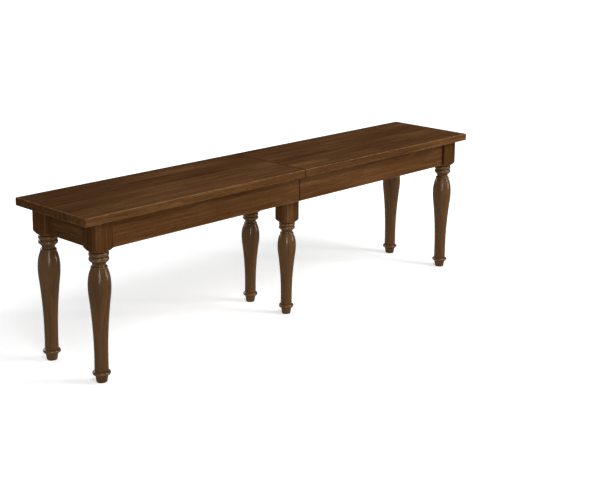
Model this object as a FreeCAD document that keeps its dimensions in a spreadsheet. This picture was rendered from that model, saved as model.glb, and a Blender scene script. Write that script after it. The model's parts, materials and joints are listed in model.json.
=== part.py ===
import FreeCAD, Part
import math
import os
import re
import Sketcher

# Extending dining bench on six turned legs. Two half seats meet at a seam over the middle and
# draw apart on geared wooden slides, while the two slimmer middle legs stay where they are.
# Millimetres. +X runs along the bench, +Y across it to the back, +Z up. The origin lies on the
# floor under the middle of the closed bench.

# Driving sizes: name, value and what it measures.
SIZES = (
    ("bench_length", 1574.8, "length over both closed seats"),
    ("bench_depth", 304.8, "front to back of the seat"),
    ("seat_height", 457.2, "floor to the top of the seat"),
    ("top_thick", 22.2, "seat board"),
    ("edge_round", 2.4, "rounding on the edges of the seat"),
    ("seam_gap", 0.8, "left between the closed halves"),
    ("travel", 305.0, "how far each half draws out"),
    ("end_overhang", 40.0, "seat past the outer face of an end leg"),
    ("side_overhang", 13.5, "seat past the front face of an end leg"),
    ("apron_height", 76.2, "apron board"),
    ("apron_thick", 19.0, "apron board"),
    ("apron_inset", 10.7, "front or back apron face behind the leg face"),
    ("end_inset", 15.0, "end apron face behind the leg face"),
    ("tenon_thick", 9.5, "tongue on the end of an apron"),
    ("tenon_length", 20.0, "how far the tenon enters the leg"),
    ("tenon_shoulder", 8.0, "apron left above and below the tenon"),
    ("cut_past", 1.0, "how far a cutter or a glued overlap runs past a face"),
    ("joint_clear", 0.1, "glue room round a tenon"),
    ("end_square", 58.4, "square block of an end leg"),
    ("centre_square", 51.8, "square block of a middle leg"),
    ("corner_round", 4.5, "eased corners of a leg block"),
    ("centre_slimness", 0.915, "radius on a middle leg for one on an end leg"),
    ("end_shoulder", 352.0, "floor to where an end leg turns square"),
    ("centre_shoulder", 285.0, "the same on a middle leg"),
    ("shoulder_slope", 1.4, "spread of the shoulder per unit of height"),
    ("collar_radius", 26.2, "two beads under the block"),
    ("collar_groove", 23.2, "radius between the beads"),
    ("collar_tall", 12.5, "height of one bead"),
    ("neck_radius", 17.6, "thinnest place above the bulb"),
    ("neck_tall", 4.0, "straight neck"),
    ("cove_tall", 7.0, "hollow between the neck and the lower bead"),
    ("ring_radius", 21.6, "thin ring on top of the bulb"),
    ("ring_at", 312.5, "height of the thin ring"),
    ("ring_tall", 2.5, "half of the thin ring"),
    ("bulb_radius", 30.2, "fullest place of the leg"),
    ("bulb_at", 260.5, "height of the fullest place"),
    ("waist_radius", 26.6, "where the bulb runs into the shaft"),
    ("waist_at", 213.0, "height of that place"),
    ("shaft_radius", 18.4, "slim lower shaft"),
    ("shaft_from", 75.0, "height where the shaft starts to swell"),
    ("ankle_radius", 24.2, "ankle bead"),
    ("ankle_low", 19.0, "height under the ankle bead"),
    ("ankle_tall", 12.5, "ankle bead"),
    ("foot_top_radius", 17.2, "foot under the ankle bead"),
    ("foot_radius", 14.2, "foot on the floor"),
    ("leg_clear", 5.6, "middle leg behind the sliding apron"),
    ("board_thick", 20.0, "board that ties the middle legs"),
    ("board_width", 96.0, "the same board along the bench"),
    ("rail_thick", 20.0, "each slide rail"),
    ("rail_height", 43.0, "each slide rail"),
    ("rail_gap", 0.5, "between neighbouring rails"),
    ("rail_lift", 1.0, "moving rail over the board"),
    ("rail_relief", 3.0, "rail under the seat where the other half slides over it"),
    ("bank_clear", 17.4, "rails behind the inner face of the apron"),
    ("centre_rail_length", 860.0, "fixed rail"),
    ("rail_reach", 352.0, "moving rail past the seam"),
    ("rail_tail", 560.0, "moving rail on its own side of the seam"),
    ("tongue_depth", 5.5, "guide tongue on a moving rail"),
    ("tongue_tall", 8.0, "guide tongue on a moving rail"),
    ("tongue_up", 10.0, "guide tongue over the underside of the rail"),
    ("slide_clear", 0.25, "running room of the tongue"),
    ("gear_module", 3.0, "tooth size of pinion and rack"),
    ("gear_teeth", 10.0, "teeth of the pinion"),
    ("pressure_angle", 25.0, "flank angle of the teeth"),
    ("tip_share", 0.8, "tooth tip over the pitch line, in modules"),
    ("root_share", 0.97, "tooth root under the pitch line, in modules"),
    ("backlash", 0.3, "play between the teeth"),
    ("gear_thick", 9.5, "pinion"),
    ("gear_up", 25.0, "rack and pinion over the underside of the rail"),
    ("rack_tall", 10.0, "rack strip"),
    ("rack_back", 4.2, "rack strip behind its tooth roots"),
    ("rack_blank", 6.0, "uncut end of the rack that stops the pinion"),
    ("axle_radius", 3.0, "steel axle of the pinion"),
    ("axle_below", 7.0, "axle under the pinion"),
    ("slot_end", 1.5, "slot past the teeth of the pinion"),
    ("axle_clear", 0.05, "running room on the axle"),
    ("gear_clear", 0.5, "pinion to its slot"),
    ("screw_radius", 2.2, "wood screw shank"),
    ("screw_head", 4.4, "wood screw head"),
    ("screw_bite", 14.0, "screw in the far piece"),
    ("rail_screw_inset", 60.0, "first rail screw from the seam"),
    ("rail_screw_spacing", 440.0, "between the two screws of a moving rail"),
    ("hole_clear", 0.05, "screw in its hole"),
    ("well_radius", 6.5, "sunk well for a screw head"),
    ("well_depth", 18.0, "sunk well for a screw head"),
    ("screw_edge", 9.0, "screw from the edge of the middle board"),
    ("block_height", 40.0, "corner block"),
    ("block_thick", 22.0, "corner block"),
    ("block_clear", 0.3, "corner block to the eased leg corner"),
    ("bolt_radius", 4.0, "hanger bolt"),
    ("bolt_in_leg", 30.0, "hanger bolt in the leg"),
    ("bolt_out", 9.0, "hanger bolt past the wood"),
    ("flange_radius", 9.0, "foot of a flanged nut"),
    ("flange_thick", 1.8, "foot of a flanged nut"),
    ("nut_across", 13.0, "flanged nut across its flats"),
    ("nut_thick", 8.0, "flanged nut with its foot"),
    ("nut_well", 11.0, "well over a leg bolt"),
    ("glue_side", 15.0, "glue block section"),
    ("glue_length", 60.0, "glue block"),
    ("pin_radius", 4.0, "seam pin"),
    ("pin_length", 30.0, "seam pin"),
    ("pin_out", 12.0, "seam pin past the edge of the seat"),
    ("pin_spacing", 200.0, "between the seam pins"),
    ("pin_clear", 0.1, "pin in the seat that slides onto it"),
    ("lock_radius", 3.9, "sliding bolt under the seam"),
    ("lock_clear", 0.1, "sliding bolt in its guides"),
    ("lock_throw", 22.0, "travel of the sliding bolt"),
    ("lock_width", 30.0, "plate of the sliding bolt"),
    ("plate_thick", 2.0, "plate of the sliding bolt"),
    ("guide_length", 9.0, "each guide of the sliding bolt"),
    ("guide_width", 15.0, "each guide of the sliding bolt"),
    ("lock_back", 10.0, "plates back from the seam"),
    ("stem_radius", 2.2, "stem of the knob"),
    ("knob_radius", 4.0, "knob of the sliding bolt"),
    ("knob_drop", 15.0, "knob under the sliding bolt"),
    ("knob_clear", 1.0, "knob to the guides at the ends of its travel"),
)
NAMES = {name for name, number, note in SIZES}

doc = FreeCAD.newDocument("extending_bench")
sheet = doc.addObject("Spreadsheet::Sheet", "Sizes")
for row, (name, number, note) in enumerate(SIZES, 1):
    sheet.set("A%d" % row, note)
    sheet.set("B%d" % row, str(number))
    sheet.setAlias("B%d" % row, name)
doc.recompute()

nodes = []


def bind(text):
    """An expression on the sheet, from a text that uses the bare size names."""
    return re.sub(r"[a-z_]+", lambda word: ("Sizes." if word.group() in NAMES else "") + word.group(), text)


def value(text):
    return float(sheet.evalExpression(bind(text)))


# Heights and places worked out once from the driving sizes.
UNDER_TOP = "(seat_height - top_thick)"
SEAM = "(seam_gap / 2)"
HALF_LENGTH = "(bench_length / 2)"
HALF_DEPTH = "(bench_depth / 2)"
LEG_X = "(bench_length / 2 - end_overhang - end_square / 2)"
LEG_Y = "(bench_depth / 2 - side_overhang - end_square / 2)"
APRON_LOW = "(seat_height - top_thick - apron_height)"
APRON_OUT_Y = "(bench_depth / 2 - side_overhang - apron_inset)"
APRON_IN_Y = "(bench_depth / 2 - side_overhang - apron_inset - apron_thick)"
APRON_OUT_X = "(bench_length / 2 - end_overhang - end_inset)"
APRON_IN_X = "(bench_length / 2 - end_overhang - end_inset - apron_thick)"
RAIL_TOP = "(seat_height - top_thick - rail_relief)"
RAIL_LOW = "(seat_height - top_thick - rail_relief - rail_height)"
BOARD_TOP = "(seat_height - top_thick - rail_relief - rail_height - rail_lift)"
BOARD_LOW = "(seat_height - top_thick - rail_relief - rail_height - rail_lift - board_thick)"
CENTRE_Y = "(bench_depth / 2 - side_overhang - apron_inset - apron_thick - leg_clear - centre_square / 2)"
RAIL_NEAR = "(rail_thick / 2 + rail_gap)"
RAIL_FAR = "(rail_thick * 1.5 + rail_gap)"
BANK_Y = "(%s - bank_clear - %s)" % (APRON_IN_Y, RAIL_FAR)
TONGUE_LOW = "(seat_height - top_thick - rail_relief - rail_height + tongue_up)"
GEAR_LOW = "(seat_height - top_thick - rail_relief - rail_height + gear_up)"
PITCH_RADIUS = "(gear_module * gear_teeth / 2)"
TIP = "(gear_module * tip_share)"
ROOT = "(gear_module * root_share)"
PITCH = "(gear_module * pi)"
RACK_DEEP = "(gear_module * tip_share + gear_module * root_share + rack_back)"
RACK_FACE = "(gear_module * gear_teeth / 2 - gear_module * tip_share)"
EXTRA_GAPS = 4
RACK_GAPS = "(floor(travel / (gear_module * pi)) + %d)" % EXTRA_GAPS
RACK_LENGTH = "((floor(travel / (gear_module * pi)) + %d) * gear_module * pi + rack_blank * 2)" % EXTRA_GAPS
RACK_START = "(-(gear_module * pi * %d / 2 + rack_blank))" % EXTRA_GAPS
LOCK_LENGTH = "(guide_length * 2 + lock_throw + stem_radius * 2 + knob_clear * 2)"
LOCK_Z = "(seat_height - top_thick - plate_thick - guide_width / 2)"
PIN_Z = "(seat_height - top_thick / 2)"
PILOT = " + screw_bite + joint_clear"


def neg(text):
    return "-(%s)" % text


def span(sign, low, high):
    """The stretch low to high along an axis, or its mirror where sign is below nought."""
    return (low, high) if sign > 0 else (neg(high), neg(low))


def times(sign, text):
    return text if sign > 0 else neg(text)


def set_place(item, x, y, z):
    item.setExpression("Placement.Base.x", bind(x))
    item.setExpression("Placement.Base.y", bind(y))
    item.setExpression("Placement.Base.z", bind(z))


def block(name, along, across, up):
    """A board or a box-shaped cut between two places on each axis."""
    item = doc.addObject("Part::Box", name)
    for side, (low, high) in zip(("Length", "Width", "Height"), (along, across, up)):
        item.setExpression(side, bind("(%s) - (%s)" % (high, low)))
    set_place(item, along[0], across[0], up[0])
    return item


def turn_to(direction):
    """The rotation that lays a piece built along +Z on the given direction."""
    return FreeCAD.Rotation(FreeCAD.Vector(0, 0, 1), FreeCAD.Vector(*direction))


def rod(name, radius, length, place, direction=(0, 0, 1)):
    item = doc.addObject("Part::Cylinder", name)
    item.setExpression("Radius", bind(radius))
    item.setExpression("Height", bind(length))
    item.Placement.Rotation = turn_to(direction)
    set_place(item, *place)
    return item


def cone(name, low_radius, high_radius, length, place, direction=(0, 0, 1)):
    item = doc.addObject("Part::Cone", name)
    item.setExpression("Radius1", bind(low_radius))
    item.setExpression("Radius2", bind(high_radius))
    item.setExpression("Height", bind(length))
    item.Placement.Rotation = turn_to(direction)
    set_place(item, *place)
    return item


def fuse(name, pieces):
    if len(pieces) == 1:
        return pieces[0]
    item = doc.addObject("Part::MultiFuse", name)
    item.Shapes = pieces
    item.Refine = True
    return item


def cut(name, base, tools):
    if not tools:
        return base
    item = doc.addObject("Part::Cut", name)
    item.Base = base
    item.Tool = fuse(name + "_tools", tools)
    return item


def group(name, pieces):
    item = doc.addObject("Part::Compound", name)
    item.Links = pieces
    return item


def keep(name, item):
    """Names one finished piece of the bench."""
    item.Label = name
    nodes.append(item)
    return item


def plane(body, role):
    return next(item for item in body.Origin.OriginFeatures if item.Role == role)


def start_sketch(body, name, role):
    sketch = body.newObject("Sketcher::SketchObject", name)
    sketch.AttachmentSupport = [(plane(body, role), "")]
    sketch.MapMode = "FlatFace"
    return sketch


def arc_between(start, end, radius):
    """An arc from start to end that bulges to the right of the way, or to the left if radius is negative."""
    chord = end - start
    half = chord.Length / 2
    side = 1 if radius > 0 else -1
    left = FreeCAD.Vector(-chord.y, chord.x, 0).normalize()
    centre = start + chord * 0.5 + left * (side * math.sqrt(max(radius * radius - half * half, 0)))
    ends = (start, end) if side > 0 else (end, start)
    angles = [math.atan2(point.y - centre.y, point.x - centre.x) for point in ends]
    circle = Part.Circle(centre, FreeCAD.Vector(0, 0, 1), abs(radius))
    return Part.ArcOfCircle(circle, angles[0], angles[1])


def outline(sketch, path):
    """A closed outline. Each corner is (across, up), or (across, up, radius) where an arc leads to it."""
    corners = [FreeCAD.Vector(value(corner[0]), value(corner[1]), 0) for corner in path]
    ends = []
    rules = []
    sizes = []
    for index, corner in enumerate(path):
        start = corners[index - 1]
        end = corners[index]
        if len(corner) == 3:
            number = sketch.addGeometry(arc_between(start, end, value(corner[2])), False)
            forward = value(corner[2]) > 0
            rules.append(Sketcher.Constraint("Radius", number, abs(value(corner[2]))))
            sizes.append((len(rules) - 1, corner[2] if forward else neg(corner[2])))
        else:
            number = sketch.addGeometry(Part.LineSegment(start, end), False)
            forward = True
        ends.append((number, 1, 2) if forward else (number, 2, 1))
    for index, (number, first, last) in enumerate(ends):
        after = ends[(index + 1) % len(ends)]
        rules.append(Sketcher.Constraint("Coincident", number, last, after[0], after[1]))
        for kind, text, number_now, axis in (
            ("DistanceX", path[index][0], corners[index].x, -2),
            ("DistanceY", path[index][1], corners[index].y, -1),
        ):
            if text == "0":
                rules.append(Sketcher.Constraint("PointOnObject", number, last, axis))
            else:
                rules.append(Sketcher.Constraint(kind, -1, 1, number, last, number_now))
                sizes.append((len(rules) - 1, text))
    first_rule = sketch.addConstraint(rules)[0]
    for index, text in sizes:
        sketch.setExpression("Constraints[%d]" % (first_rule + index), bind(text))


def add_pad(body, name, sketch, length):
    item = body.newObject("PartDesign::Pad", name)
    item.Profile = sketch
    item.setExpression("Length", bind(length))
    return item


def add_pocket(body, name, sketch, reverse):
    """Cuts the sketch through everything on one side of its plane."""
    item = body.newObject("PartDesign::Pocket", name)
    item.Profile = sketch
    item.Type = 1
    item.Reversed = reverse
    return item


def stretch(height, shoulder):
    """A height on the turning, drawn in between ankle and shoulder for a leg with a lower shoulder."""
    base = "(ankle_low + ankle_tall)"
    return "(%s + ((%s) - %s) * (%s - %s) / (end_shoulder - %s))" % (base, height, base, shoulder, base, base)


def turned_leg(name, square, slimness, shoulder, top):
    """A leg turned from a square: a lathe profile whose block is then planed back to four flats."""
    body = doc.addObject("PartDesign::Body", name)
    sketch = start_sketch(body, name + "_profile", "XZ_Plane")

    def slim(radius):
        return "(%s) * %s" % (radius, slimness)

    def at(height):
        return stretch(height, shoulder)

    def bow(radius, height, far_radius, far_height, steps):
        """Points of a parabola that leaves (radius, height) upright and ends at the far place."""
        shares = [step / steps for step in range(1, steps + 1)]
        return [
            (
                slim("%s + (%s - %s) * %.4f" % (radius, far_radius, radius, share * share)),
                at("%s + (%s - %s) * %.4f" % (height, far_height, height, share)),
            )
            for share in shares
        ]

    def bead(groove, crest, low, tall):
        """A bead of three bands: up from its lower groove, along its crest and in to its upper groove."""
        return [
            (slim(crest), at("%s + %s * 0.25" % (low, tall))),
            (slim(crest), at("%s + %s * 0.75" % (low, tall))),
            (slim(groove), at("%s + %s" % (low, tall))),
        ]

    collar_low = "(end_shoulder - collar_tall * 2)"
    collar_mid = "(end_shoulder - collar_tall)"
    blank = "(%s * 0.75)" % square
    swell = bow("shaft_radius", "shaft_from", "waist_radius", "waist_at", 3)
    belly = bow("bulb_radius", "bulb_at", "waist_radius", "waist_at", 2)
    crown = bow("bulb_radius", "bulb_at", "(ring_radius - 1)", "(ring_at - ring_tall)", 3)
    outline(sketch, [
        ("0", "0"),
        (slim("foot_radius"), "0"),
        (slim("foot_top_radius"), "ankle_low"),
        *bead("shaft_radius", "ankle_radius", "ankle_low", "ankle_tall"),
        (slim("shaft_radius"), at("shaft_from")),
        *swell,
        *reversed(belly[:-1]),
        (slim("bulb_radius"), at("bulb_at")),
        *crown,
        (slim("ring_radius"), at("ring_at")),
        (slim("neck_radius"), at("%s - cove_tall - neck_tall" % collar_low)),
        (slim("neck_radius"), at("%s - cove_tall" % collar_low)),
        (slim("collar_groove - 1"), at(collar_low)),
        *bead("collar_groove", "collar_radius", collar_low, "collar_tall"),
        *bead("collar_groove", "collar_radius", collar_mid, "collar_tall"),
        (blank, "%s + (%s - %s) / shoulder_slope" % (shoulder, blank, slim("collar_groove"))),
        (blank, top),
        ("0", top),
    ])
    turning = body.newObject("PartDesign::Revolution", name + "_turning")
    turning.Profile = sketch
    turning.ReferenceAxis = (sketch, ["V_Axis"])
    turning.Angle = 360

    # The flats are planed from the shoulder up, so the bulb may be fuller than the block.
    flats = start_sketch(body, name + "_square", "XY_Plane")
    flats.setExpression("AttachmentOffset.Base.z", bind(shoulder))
    half = "(%s / 2)" % square
    flat = "(%s / 2 - corner_round)" % square
    outline(flats, [
        (half, neg(flat)),
        (half, flat),
        (flat, half, "corner_round"),
        (neg(flat), half),
        (neg(half), flat, "corner_round"),
        (neg(half), neg(flat)),
        (neg(flat), neg(half), "corner_round"),
        (flat, neg(half)),
        (half, neg(flat), "corner_round"),
    ][1:])
    outer = flats.addGeometry(Part.Circle(FreeCAD.Vector(), FreeCAD.Vector(0, 0, 1), value(square)), False)
    flats.addConstraint(Sketcher.Constraint("Coincident", outer, 3, -1, 1))
    rule = flats.addConstraint(Sketcher.Constraint("Radius", outer, value(square)))
    flats.setExpression("Constraints[%d]" % rule, bind(square))
    add_pocket(body, name + "_flats", flats, True)
    return body


def cut_mortise(body, name, role, reverse, inset):
    """A blind slot in one inner face of an end leg, for the tenon of an apron."""
    sketch = start_sketch(body, name, role)
    side = "(end_square / 2 - tenon_length - joint_clear)"
    sketch.setExpression("AttachmentOffset.Base.z", bind(side if reverse else neg(side)))
    near = "(-(end_square / 2 - %s - (apron_thick - tenon_thick) / 2 + joint_clear))" % inset
    far = "(-(end_square / 2 - %s - (apron_thick + tenon_thick) / 2 - joint_clear))" % inset
    low = "(%s + tenon_shoulder - joint_clear)" % APRON_LOW
    high = "(%s - tenon_shoulder + joint_clear)" % UNDER_TOP
    outline(sketch, [(near, low), (far, low), (far, high), (near, high)])
    add_pocket(body, name + "_cut", sketch, reverse)


def wood_screw(name, x, y, head_at, tip_at):
    """A round-headed screw driven upwards, with its head bearing at the height head_at."""
    head = rod(name + "_head", "screw_head", "screw_radius", (x, y, "%s - screw_radius" % head_at))
    shank = rod(name + "_shank", "screw_radius", "(%s) - (%s)" % (tip_at, head_at), (x, y, head_at))
    return fuse(name, [head, shank])


def screw_hole(name, x, y, low, high):
    return rod(name, "screw_radius + hole_clear", "(%s) - (%s)" % (high, low), (x, y, low))


def flanged_nut(name, place, direction):
    """A hexagon nut with a broad foot, threaded on along the given direction."""
    foot = rod(name + "_foot", "flange_radius", "flange_thick", place, direction)
    hexagon = doc.addObject("Part::Prism", name + "_hexagon")
    hexagon.Polygon = 6
    hexagon.setExpression("Circumradius", bind("nut_across / sqrt(3)"))
    hexagon.setExpression("Height", bind("nut_thick"))
    hexagon.Placement.Rotation = turn_to(direction)
    set_place(hexagon, *place)
    bore = rod(name + "_bore", "bolt_radius + hole_clear", "nut_thick", place, direction)
    return cut(name, fuse(name + "_blank", [foot, hexagon]), [bore])


# Fixed middle: two slim legs, the board on them, two grooved rails and the axles of the pinions.
BANKS = (("front", -1), ("back", 1))
RAIL_SCREW_X = "(board_width / 2 - screw_edge)"
WELL_LOW = "(%s - nut_well)" % BOARD_TOP
leg_bolts = []
leg_nuts = []
rail_screws = []
board_cuts = []
axles = []
for side, ysign in BANKS:
    leg_y = times(ysign, CENTRE_Y)
    bank_y = times(ysign, BANK_Y)
    leg = turned_leg(
        "centre_%s_turned" % side, "centre_square", "centre_slimness", "centre_shoulder", BOARD_LOW,
    )
    set_place(leg, "0", leg_y, "0")
    # One bolt on the axis of the leg, its nut sunk in the board so that the moving rails clear it.
    tag = "centre_%s_bolt" % side
    bolt_low = "(%s - bolt_in_leg)" % BOARD_LOW
    bolt_tall = "%s + bolt_out - %s" % (WELL_LOW, bolt_low)
    leg_bolts.append(rod(tag, "bolt_radius", bolt_tall, ("0", leg_y, bolt_low)))
    leg_nuts.append(flanged_nut("centre_%s_nut" % side, ("0", leg_y, WELL_LOW), (0, 0, 1)))
    leg_hole = rod(tag + "_leg_hole", "bolt_radius + hole_clear", bolt_tall, ("0", leg_y, bolt_low))
    board_cuts.append(rod(tag + "_board_hole", "bolt_radius + hole_clear", bolt_tall, ("0", leg_y, bolt_low)))
    board_cuts.append(rod(tag + "_well", "flange_radius + 1", "nut_well + cut_past", ("0", leg_y, WELL_LOW)))
    keep("centre_%s_leg" % side, cut("centre_%s_leg" % side, leg, [leg_hole]))

    # The fixed rail: a groove in each flank, a slot for the pinion and a bore for its axle.
    plain = block(
        side + "_centre_rail_blank",
        (neg("centre_rail_length / 2"), "centre_rail_length / 2"),
        ("%s - rail_thick / 2" % bank_y, "%s + rail_thick / 2" % bank_y),
        (BOARD_TOP, RAIL_TOP),
    )
    groove_up = ("%s - slide_clear" % TONGUE_LOW, "%s + tongue_tall + slide_clear" % TONGUE_LOW)
    cuts = []
    for face in (-1, 1):
        groove_floor = "rail_thick / 2 - (tongue_depth - rail_gap) - slide_clear"
        reach = span(face, groove_floor, "rail_thick / 2 + cut_past")
        cuts.append(block(
            "%s_groove_%d" % (side, face + 1),
            (neg("centre_rail_length / 2 + cut_past"), "centre_rail_length / 2 + cut_past"),
            ("%s + %s" % (bank_y, reach[0]), "%s + %s" % (bank_y, reach[1])),
            groove_up,
        ))
        spot_x = times(face, RAIL_SCREW_X)
        tag = "%s_rail_screw_%d" % (side, face + 1)
        rail_screws.append(wood_screw(tag, spot_x, bank_y, BOARD_LOW, BOARD_TOP + " + screw_bite"))
        board_cuts.append(screw_hole(tag + "_hole", spot_x, bank_y, BOARD_LOW, BOARD_TOP))
        cuts.append(screw_hole(tag + "_pilot", spot_x, bank_y, BOARD_TOP, BOARD_TOP + PILOT))
    slot_x = "(%s + %s + slot_end)" % (PITCH_RADIUS, TIP)
    cuts.append(block(
        side + "_pinion_slot",
        (neg(slot_x), slot_x),
        ("%s - rail_thick" % bank_y, "%s + rail_thick" % bank_y),
        ("%s - gear_clear" % GEAR_LOW, "%s + gear_thick + gear_clear" % GEAR_LOW),
    ))
    axle_low = "(%s - axle_below)" % GEAR_LOW
    axle_tall = "%s - cut_past - %s" % (RAIL_TOP, axle_low)
    axles.append(rod(side + "_axle", "axle_radius", axle_tall, ("0", bank_y, axle_low)))
    bore = "axle_radius + axle_clear"
    cuts.append(rod(side + "_axle_bore", bore, axle_tall + " + cut_past * 2", ("0", bank_y, axle_low)))
    keep(side + "_centre_rail", cut(side + "_centre_rail", plain, cuts))

board = block(
    "centre_board_blank",
    (neg("board_width / 2"), "board_width / 2"),
    (neg("(%s + centre_square / 2)" % CENTRE_Y), "%s + centre_square / 2" % CENTRE_Y),
    (BOARD_LOW, BOARD_TOP),
)
keep("centre_leg_board", cut("centre_leg_board", board, board_cuts))
keep("centre_leg_bolts", group("centre_leg_bolts", leg_bolts))
keep("centre_leg_nuts", group("centre_leg_nuts", leg_nuts))
keep("centre_rail_screws", group("centre_rail_screws", rail_screws))
keep("pinion_axles", group("pinion_axles", axles))


def involute(radius, base):
    return math.sqrt(max((radius / base) ** 2 - 1, 0)) - math.acos(min(base / radius, 1))


def pinion_outline():
    """The toothed edge of a pinion: involute flanks on straight roots, one tooth pointing along +X."""
    teeth = int(round(value("gear_teeth")))
    pitch_radius = value(PITCH_RADIUS)
    flank = math.radians(value("pressure_angle"))
    base = pitch_radius * math.cos(flank)
    tip = pitch_radius + value(TIP)
    root = pitch_radius - value(ROOT)
    half_tooth = math.pi / 2 / teeth + involute(pitch_radius, base)
    steps = [base + (tip - base) * share for share in (0, 0.5, 1)]
    edge = [(root, half_tooth)] + [(radius, half_tooth - involute(radius, base)) for radius in steps]
    points = []
    for tooth in range(teeth):
        middle = 2 * math.pi * tooth / teeth
        for radius, angle in edge:
            points.append((radius, middle - angle))
        for radius, angle in reversed(edge):
            points.append((radius, middle + angle))
    return [FreeCAD.Vector(radius * math.cos(angle), radius * math.sin(angle), 0) for radius, angle in points]


for side, ysign in BANKS:
    corners = pinion_outline()
    thick = value("gear_thick")
    face = Part.Face(Part.makePolygon(corners + corners[:1]))
    wheel = face.extrude(FreeCAD.Vector(0, 0, thick))
    hole = Part.makeCylinder(value("axle_radius + axle_clear"), thick)
    pinion = doc.addObject("Part::Feature", side + "_pinion")
    pinion.Shape = wheel.cut(hole)
    set_place(pinion, "0", times(ysign, BANK_Y), GEAR_LOW)
    keep(side + "_pinion", pinion)


def rack_strip(name):
    """A rack along +X, its back on the plane y = 0, with a tooth over x = 0 of the bench at rest."""
    body = doc.addObject("PartDesign::Body", name)
    sketch = start_sketch(body, name + "_strip", "XY_Plane")
    outline(sketch, [("0", "0"), (RACK_LENGTH, "0"), (RACK_LENGTH, RACK_DEEP), ("0", RACK_DEEP)])
    add_pad(body, name + "_pad", sketch, "rack_tall")
    flank = "tan(pressure_angle)"
    middle = "(rack_blank + %s / 2)" % PITCH
    wide = "(%s / 4 + backlash / 2 + %s * %s)" % (PITCH, TIP, flank)
    narrow = "(%s / 4 + backlash / 2 - %s * %s)" % (PITCH, ROOT, flank)
    gap = start_sketch(body, name + "_gap", "XY_Plane")
    outline(gap, [
        ("%s - %s" % (middle, wide), RACK_DEEP),
        ("%s - %s" % (middle, narrow), "rack_back"),
        ("%s + %s" % (middle, narrow), "rack_back"),
        ("%s + %s" % (middle, wide), RACK_DEEP),
    ])
    first = add_pocket(body, name + "_first_gap", gap, True)
    doc.recompute()
    row_of_gaps = body.newObject("PartDesign::LinearPattern", name + "_gaps")
    row_of_gaps.Originals = [first]
    row_of_gaps.Direction = (gap, ["H_Axis"])
    row_of_gaps.setExpression("Occurrences", bind(RACK_GAPS))
    row_of_gaps.setExpression("Length", bind("(%s - 1) * %s" % (RACK_GAPS, PITCH)))
    body.Tip = row_of_gaps
    return body


def seat_board(name, xsign, holes):
    """A half seat with softened edges all round but at the seam."""
    body = doc.addObject("PartDesign::Body", name + "_board")
    sketch = start_sketch(body, name + "_plan", "XY_Plane")
    low, high = span(xsign, SEAM, HALF_LENGTH)
    outline(sketch, [(low, neg(HALF_DEPTH)), (high, neg(HALF_DEPTH)), (high, HALF_DEPTH), (low, HALF_DEPTH)])
    pad = add_pad(body, name + "_pad", sketch, "top_thick")
    doc.recompute()
    seam = xsign * value(SEAM)
    edges = [
        "Edge%d" % number
        for number, edge in enumerate(pad.Shape.Edges, 1)
        if not all(abs(vertex.Point.x - seam) < 0.01 for vertex in edge.Vertexes)
    ]
    rounding = body.newObject("PartDesign::Fillet", name + "_edges")
    rounding.Base = (pad, edges)
    rounding.setExpression("Radius", bind("edge_round"))
    set_place(body, "0", "0", UNDER_TOP)
    return keep(name, cut(name, body, holes))


def apron(name, along, across, tenons):
    """An apron board with its tenons."""
    board = block(name + "_board", along, across, (APRON_LOW, UNDER_TOP))
    up = ("%s + tenon_shoulder" % APRON_LOW, "%s - tenon_shoulder" % UNDER_TOP)
    tongues = [
        block("%s_tenon_%d" % (name, index), tongue_along, tongue_across, up)
        for index, (tongue_along, tongue_across) in enumerate(tenons)
    ]
    return keep(name, fuse(name, [board] + tongues))


def diagonal_place(xsign, ysign, distance, height):
    """A place on the line from the axis of an end leg towards the middle of the bench, at 45 degrees."""
    x = "%s - %s" % (times(xsign, LEG_X), times(xsign, "(%s) * sqrt(0.5)" % distance))
    y = "%s - %s" % (times(ysign, LEG_Y), times(ysign, "(%s) * sqrt(0.5)" % distance))
    return (x, y, height)


CORNER_FACE = "((end_square / 2 - corner_round) * sqrt(2) + corner_round + block_clear)"
BOLT_Z = "(seat_height - top_thick - block_height / 2)"


def corner_block(name, xsign, ysign, cuts):
    """A block set across the inside of a corner and mitred against both aprons."""
    body = doc.addObject("PartDesign::Body", name + "_body")
    sketch = start_sketch(body, name + "_plan", "XY_Plane")
    gap_x = "(%s - %s)" % (LEG_X, APRON_IN_X)
    gap_y = "(%s - %s)" % (LEG_Y, APRON_IN_Y)
    outer = "(%s * sqrt(2))" % CORNER_FACE
    inner = "((%s + block_thick) * sqrt(2))" % CORNER_FACE
    corners = [
        (gap_x, "%s - %s" % (outer, gap_x)),
        ("%s - %s" % (outer, gap_y), gap_y),
        ("%s - %s" % (inner, gap_y), gap_y),
        (gap_x, "%s - %s" % (inner, gap_x)),
    ]
    outline(sketch, [(times(-xsign, x), times(-ysign, y)) for x, y in corners])
    add_pad(body, name + "_pad", sketch, "block_height")
    set_place(body, times(xsign, LEG_X), times(ysign, LEG_Y), "%s - block_height" % UNDER_TOP)
    return cut(name, body, cuts)


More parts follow.
